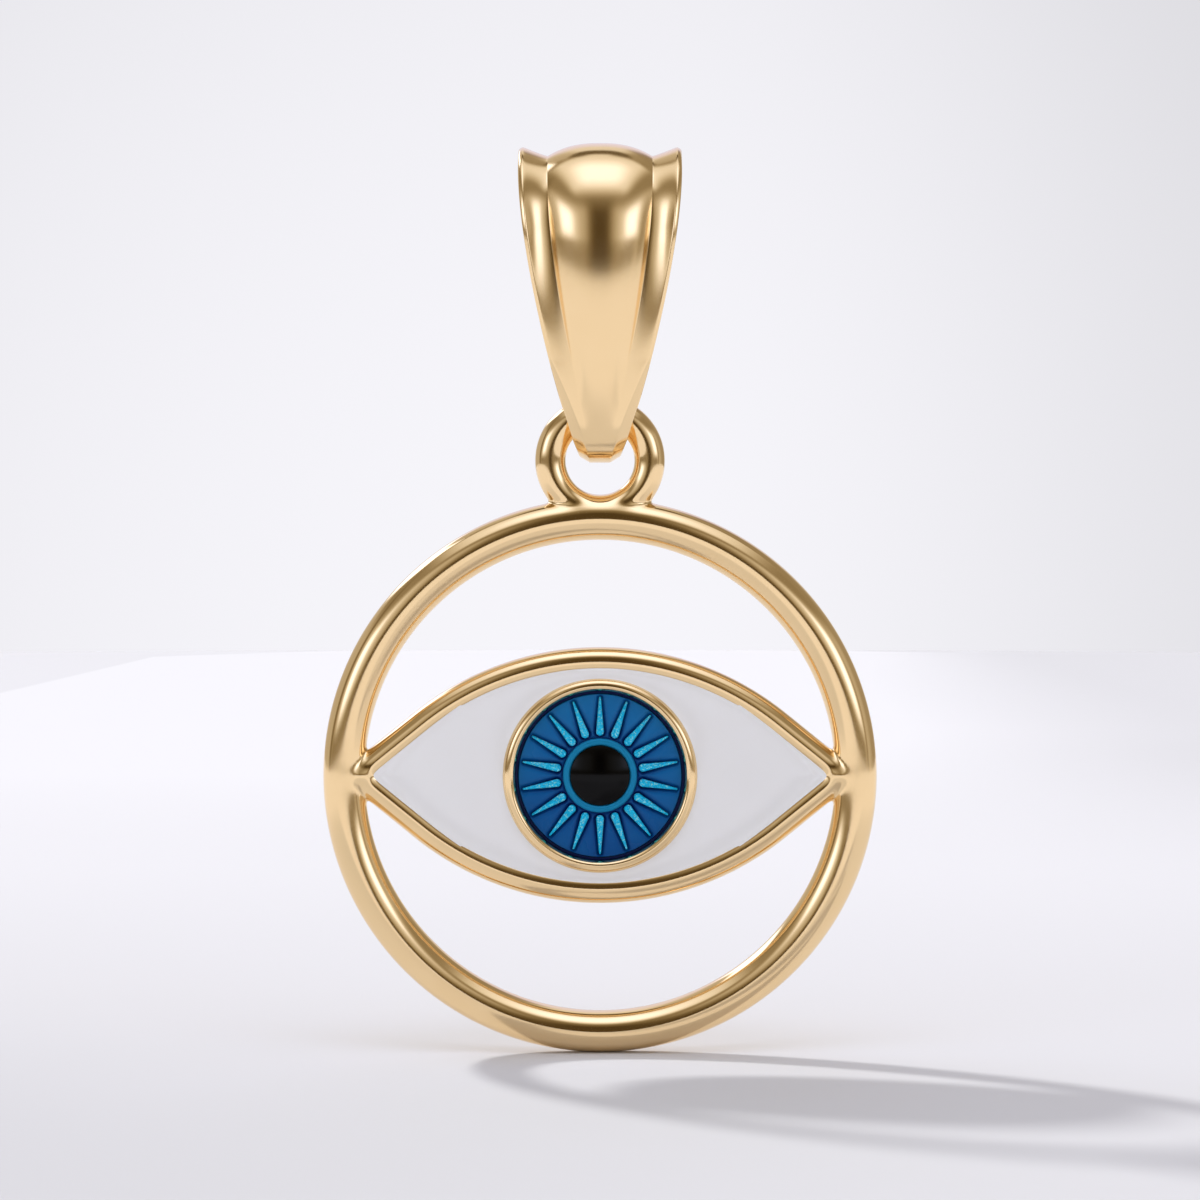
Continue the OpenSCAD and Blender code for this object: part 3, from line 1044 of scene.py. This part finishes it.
bailPiece = addPiece("gold_bail", bailMesh(), castGold)
print("bail made:", len(bailPiece.data.polygons), "faces")


# Floor: a pale sheet on every side of the pendant, with a bowed far edge
sheet = {
    "level": -25.51,
    "frontEdge": -360,
    "farEdge": 764,
    "bow": 300,
    "halfWidth": 420,
    "points": 41,
}


def floorMesh():
    places = np.linspace(0, 1, sheet["points"])
    points = []
    for v in places:
        for u in 2 * places - 1:
            far = sheet["farEdge"] - sheet["bow"] * u * u
            y = sheet["frontEdge"] + (far - sheet["frontEdge"]) * v
            points.append((u * sheet["halfWidth"], y, sheet["level"]))
    made = bpy.data.meshes.new("studio_floor")
    made.from_pydata((np.array(points) * mm).tolist(), [], gridFaces(sheet["points"], sheet["points"]))
    return made


# Tone of the sheet, with its places in metres. It pales towards the back, and in front and at the sides
# where the picture doesn't reach; the first is painted shade on the part in view nearest the camera.
# It greys with painted shade in a patch on the left of the pendant's foot and to the right.
# Past slanting left and right edges and a rounded far one it takes the backdrop's tone.
sheetLook = {
    "colour": colour(0.79, 0.787, 0.795),
    "tone": 0.84,
    "backwards": [(-0.03, 0.02, 0.05), (0.01, 0.07, 0.06), (0.05, 0.25, 0.1)],
    "patchX": -0.025,
    "patchY": -0.02,
    "patchReach": (0.004, 0.04),
    "patchShade": 0.08,
    "rightReach": (0.01, 0.05),
    "rightShade": 0.05,
    "frontReach": (-0.045, -0.027),
    "besideFrom": -0.095,
    "besideSlope": 0.2,
    "besideReach": (0.004, 0.05),
    "outOfViewPale": 0.28,
    "leftSlope": 0.063,
    "leftEdge": (0.0595, 0.062),
    "farRound": 14.5,
    "farEdge": (0.785, 0.83),
    "edgeDark": 0.125,
    "rightSlope": 0.085,
    "rightEdge": (0, 0.046),
    "rightFrom": (0.04, 0.2),
    "rightEdgeDark": 0.16,
    "grainScale": 1600,
    "grainHeight": 0.000002,
    "roughness": 0.4,
    "roughnessSpread": 0.06,
}


def paintFloor(tree, place):
    look = sheetLook
    x, y = partsOf(place)[:2]
    tone = look["tone"]
    # Painted shade: the sheet darkens towards the front
    for start, end, gain in look["backwards"]:
        tone = tone + y.rise(start, end) * gain
    # Painted shade in a patch on the left of the pendant's foot, and to the right
    away = ((x - look["patchX"]) ** 2 + (y - look["patchY"]) ** 2) ** 0.5
    tone = tone - (1 - away.rise(*look["patchReach"])) * look["patchShade"]
    tone = tone - x.rise(*look["rightReach"]) * look["rightShade"]
    outwards = x.maths("ABSOLUTE", x) - (y - look["besideFrom"]) * look["besideSlope"]
    beside = outwards.rise(*look["besideReach"])
    inFront = 1 - y.rise(*look["frontReach"])
    tone = tone + x.maths("MAXIMUM", inFront, beside) * look["outOfViewPale"]
    left = (0 - x - y * look["leftSlope"]).rise(*look["leftEdge"])
    far = (y + x * x * look["farRound"]).rise(*look["farEdge"])
    right = (x - y * look["rightSlope"]).rise(*look["rightEdge"]) * y.rise(*look["rightFrom"])
    past = x.maths("MAXIMUM", left, far) * look["edgeDark"]
    tone = tone - x.maths("MAXIMUM", past, right * look["rightEdgeDark"])
    grain = noise(tree, place, look["grainScale"], 2)
    return {
        "Base Color": mixColours(tree, tone, colour(0, 0, 0), look["colour"]),
        "Roughness": grain * look["roughnessSpread"] + look["roughness"],
        "Normal": bump(tree, grain, look["grainHeight"]),
    }


floorLook = makeMaterial("studio_floor", {"Specular IOR Level": 0}, paintFloor)
floorPiece = addPiece("studio_floor", floorMesh(), floorLook)

# Camera: level, straight on, a macro lens a hand's breadth away
lens = {
    "distance": 95,
    "height": -12.45,
    "viewHeight": 34.7,
    "sensor": 36,
    "nearest": 1,
    "farthest": 10000,
}
cameraData = bpy.data.cameras.new("camera")
cameraData.sensor_width = lens["sensor"]
cameraData.lens = lens["sensor"] * lens["distance"] / lens["viewHeight"]
cameraData.clip_start = lens["nearest"] * mm
cameraData.clip_end = lens["farthest"] * mm
camera = bpy.data.objects.new("camera", cameraData)
camera.location = (0, -lens["distance"] * mm, lens["height"] * mm)
camera.rotation_euler = (math.radians(90), 0, 0)
scene.collection.objects.link(camera)
scene.camera = camera

# Key light: low on the left and behind, for the long soft shadow
keyLight = {
    "turn": -142.4,
    "height": 33.9,
    "spread": 5.6,
    "strength": 2.2,
}
lamp = bpy.data.lights.new("key_light", "SUN")
lamp.angle = math.radians(keyLight["spread"])
lamp.energy = keyLight["strength"]
lampPiece = bpy.data.objects.new("key_light", lamp)
lampPiece.visible_glossy = False   # the metal reflects the box round it instead
lampPiece.rotation_euler = (math.radians(90 - keyLight["height"]), 0, math.radians(keyLight["turn"]))
scene.collection.objects.link(lampPiece)

# Studio all round, for what the metal reflects: pale behind, dark where the camera stands, a soft box on
# each side of it, another overhead and a long one round the key light. Each patch has a brightness and its
# limits in degrees, and is painted over the ones before. Turn runs round from the camera's side to the
# right, apart to either side, and height runs up. Two limits make a rise, or a fall where the first is
# higher, and four make both.
room = {
    "walls": 0.54,
    "wallPatches": [
        (0.64, {"apart": (130, 160)}),
        (0.38, {"turn": (84, 112, 138, 156)}),
        (0.86, {"apart": (152, 172), "height": (16, 4)}),   # far wall, low and high
        (0.86, {"apart": (146, 164), "height": (10, 24)}),
        (0.3, {"apart": (130, 112), "height": (26, 36)}),   # gap over the side boxes
        (0.12, {"apart": (112, 130), "height": (64, 69, 76, 81)}),   # dark line high at the back
        (0.33, {"turn": (80, 100, 150, 170), "height": (24, 42, 50, 60)}),
        (0.22, {"turn": (-95, -86, -80, -72), "height": (52, 36)}),   # dark strips past the side boxes
        (0.33, {"turn": (62, 68, 71, 78), "height": (30, 10)}),
        (0.27, {"turn": (-80, -70, 50, 70), "height": (8, 3)}),   # dim line under the side boxes
        (0.85, {"turn": (-74, -60, -38, -20), "height": (3, 9, 21, 31)}),   # the side boxes
        (0.85, {"turn": (18, 34, 58, 72), "height": (2, 8, 21, 31)}),
    ],
    "boxHearts": [
        {"turn": (-68, -56, -50, -32), "height": (5, 13, 19, 29)},
        {"turn": (30, 46, 52, 66), "height": (4, 12, 19, 29)},
    ],
    "boxHeartGain": 0.9,
    "camera": (0.08, {"apart": (22, 2), "height": (46, 26)}),
    "overhead": {"sideways": (-44, -28, 28, 44), "forwards": (-12, -4, 38, 51), "height": (0, 20)},
    "overheadLevel": 0.9,
    "overheadHeart": {"sideways": (-32, -8, 8, 32), "forwards": (-4, 18, 28, 44)},
    "overheadGain": 0.55,
    "keyTurn": -133,
    "keyHeight": 38,
    "keyAlong": (0.63, 0.6),
    "keyAcross": (-0.47, 0.8),
    "keyBox": (2.2, {"along": (-26, -18, 18, 26), "across": (-8, -4, 4, 8)}),
    "below": (0.87, {"height": (-0.5, -2.5)}),
}

# Warmth of what the metal reflects: green and blue fall faster than red in the shade, except high behind
warmth = {
    "darkest": 0.01,
    "greenPower": 1.16,
    "greenGain": 1.02,
    "greenTop": 1.06,
    "bluePower": 1.55,
    "blueGain": 1.13,
    "blueTop": 1.35,
    "coolPatch": {"apart": (146, 164), "height": (10, 24, 48, 53)},
    "coolGain": 0.25,
}

# Backdrop as the camera sees it, with painted shade that darkens it towards the edges and on the right,
# and how much more light the room throws on what isn't shiny
backdrop = {
    "tone": 0.925,
    "falloff": 1.6,
    "rightReach": (0.02, 0.2),
    "rightShade": 0.09,
    "darkest": 0.74,
    "green": 0.991,
    "blue": 1.038,
    "fill": 0.17,
}


# Share of a patch that a direction lies in
def within(axes, limits):
    share = None
    for axis, ends in limits.items():
        if len(ends) == 4:
            part = axes[axis].plateau(*ends)
        elif ends[0] < ends[1]:
            part = axes[axis].rise(*ends)
        else:
            part = 1 - axes[axis].rise(*ends[::-1])
        share = share * part if share else part
    return share


# The measures of a direction, in degrees; the last two lie along and across the key light's box
def roomAxes(x, y, z):
    degrees = 180 / math.pi
    turn = x.maths("ARCTAN2", x, 0 - y) * degrees
    height = z.maths("ARCSINE", z) * degrees
    fromKey, aboveKey = turn - room["keyTurn"], height - room["keyHeight"]
    return {
        "turn": turn,
        "apart": turn.maths("ABSOLUTE", turn),
        "height": height,
        "sideways": x.maths("ARCTAN2", x, z) * degrees,
        "forwards": y.maths("ARCTAN2", 0 - y, z) * degrees,
        "along": fromKey * room["keyAlong"][0] + aboveKey * room["keyAlong"][1],
        "across": fromKey * room["keyAcross"][0] + aboveKey * room["keyAcross"][1],
    }


def paintRoom():
    world = bpy.data.worlds.new("studio")
    world.use_nodes = True
    scene.world = world
    tree = world.node_tree
    x, y, z = partsOf(addNode(tree, "ShaderNodeTexCoord"))
    axes = roomAxes(x, y, z)
    level = 0 * z + room["walls"]
    for brightness, limits in room["wallPatches"]:
        level = level.towards(brightness, within(axes, limits))
    for limits in room["boxHearts"]:
        level = level + within(axes, limits) * room["boxHeartGain"]
    brightness, limits = room["camera"]
    level = level.towards(brightness, within(axes, limits))
    overhead = within(axes, room["overheadHeart"]) * room["overheadGain"] + room["overheadLevel"]
    level = level.towards(overhead, within(axes, room["overhead"]))
    for brightness, limits in (room["keyBox"], room["below"]):
        level = level.towards(brightness, within(axes, limits))
    deeper = level.maths("MAXIMUM", level, warmth["darkest"])
    greenTone = deeper ** warmth["greenPower"] * warmth["greenGain"]
    blueTone = deeper ** warmth["bluePower"] * warmth["blueGain"]
    greenTone = level.maths("MINIMUM", greenTone, level * warmth["greenTop"])
    blueTone = level.maths("MINIMUM", blueTone, level * warmth["blueTop"])
    blueTone = blueTone + within(axes, warmth["coolPatch"]) * warmth["coolGain"]
    lit = addNode(tree, "ShaderNodeCombineColor", None, {0: level, 1: greenTone, 2: blueTone})
    # Painted shade: the backdrop darkens towards the edges and on the right
    plain = backdrop["tone"] - (x * x + z * z) * backdrop["falloff"]
    plain = plain - x.rise(*backdrop["rightReach"]) * backdrop["rightShade"]
    plain = plain.maths("MAXIMUM", plain, backdrop["darkest"])
    tones = {0: plain, 1: plain * backdrop["green"], 2: plain * backdrop["blue"]}
    wall = addNode(tree, "ShaderNodeCombineColor", None, tones)
    seen = addNode(tree, "ShaderNodeLightPath", out=0)
    spread = addNode(tree, "ShaderNodeLightPath", out=2)
    shade = tree.nodes["Background"]
    tree.links.new(mixColours(tree, seen, lit, wall).socket, shade.inputs["Color"])
    tree.links.new((spread * backdrop["fill"] + 1).socket, shade.inputs["Strength"])


paintRoom()
scene.view_settings.view_transform = "Standard"
print("studio made")

# What each piece rides on, which node it stands for and which finish it takes
plan = [
    (bailPiece, "bail", "bail", "gold"),
    (framePiece, "drop", "frame", "gold"),
    (bezelPiece, "drop", "frame", "gold"),
    (trayPiece, "drop", "frame", "gold"),
    (whitePiece, "drop", "white_enamel", "white_enamel"),
    (rayPiece, "drop", "iris_relief", "iris_relief"),
    (platePiece, "drop", "iris_relief", "iris_relief"),
    (ringPiece, "drop", "iris_relief", "iris_relief"),
    (bluePiece, "drop", "iris_enamel", "blue_enamel"),
    (pupilPiece, "drop", "pupil", "black_enamel"),
]
for piece, body, node, slot in plan:
    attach(piece, body)
    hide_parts(node)
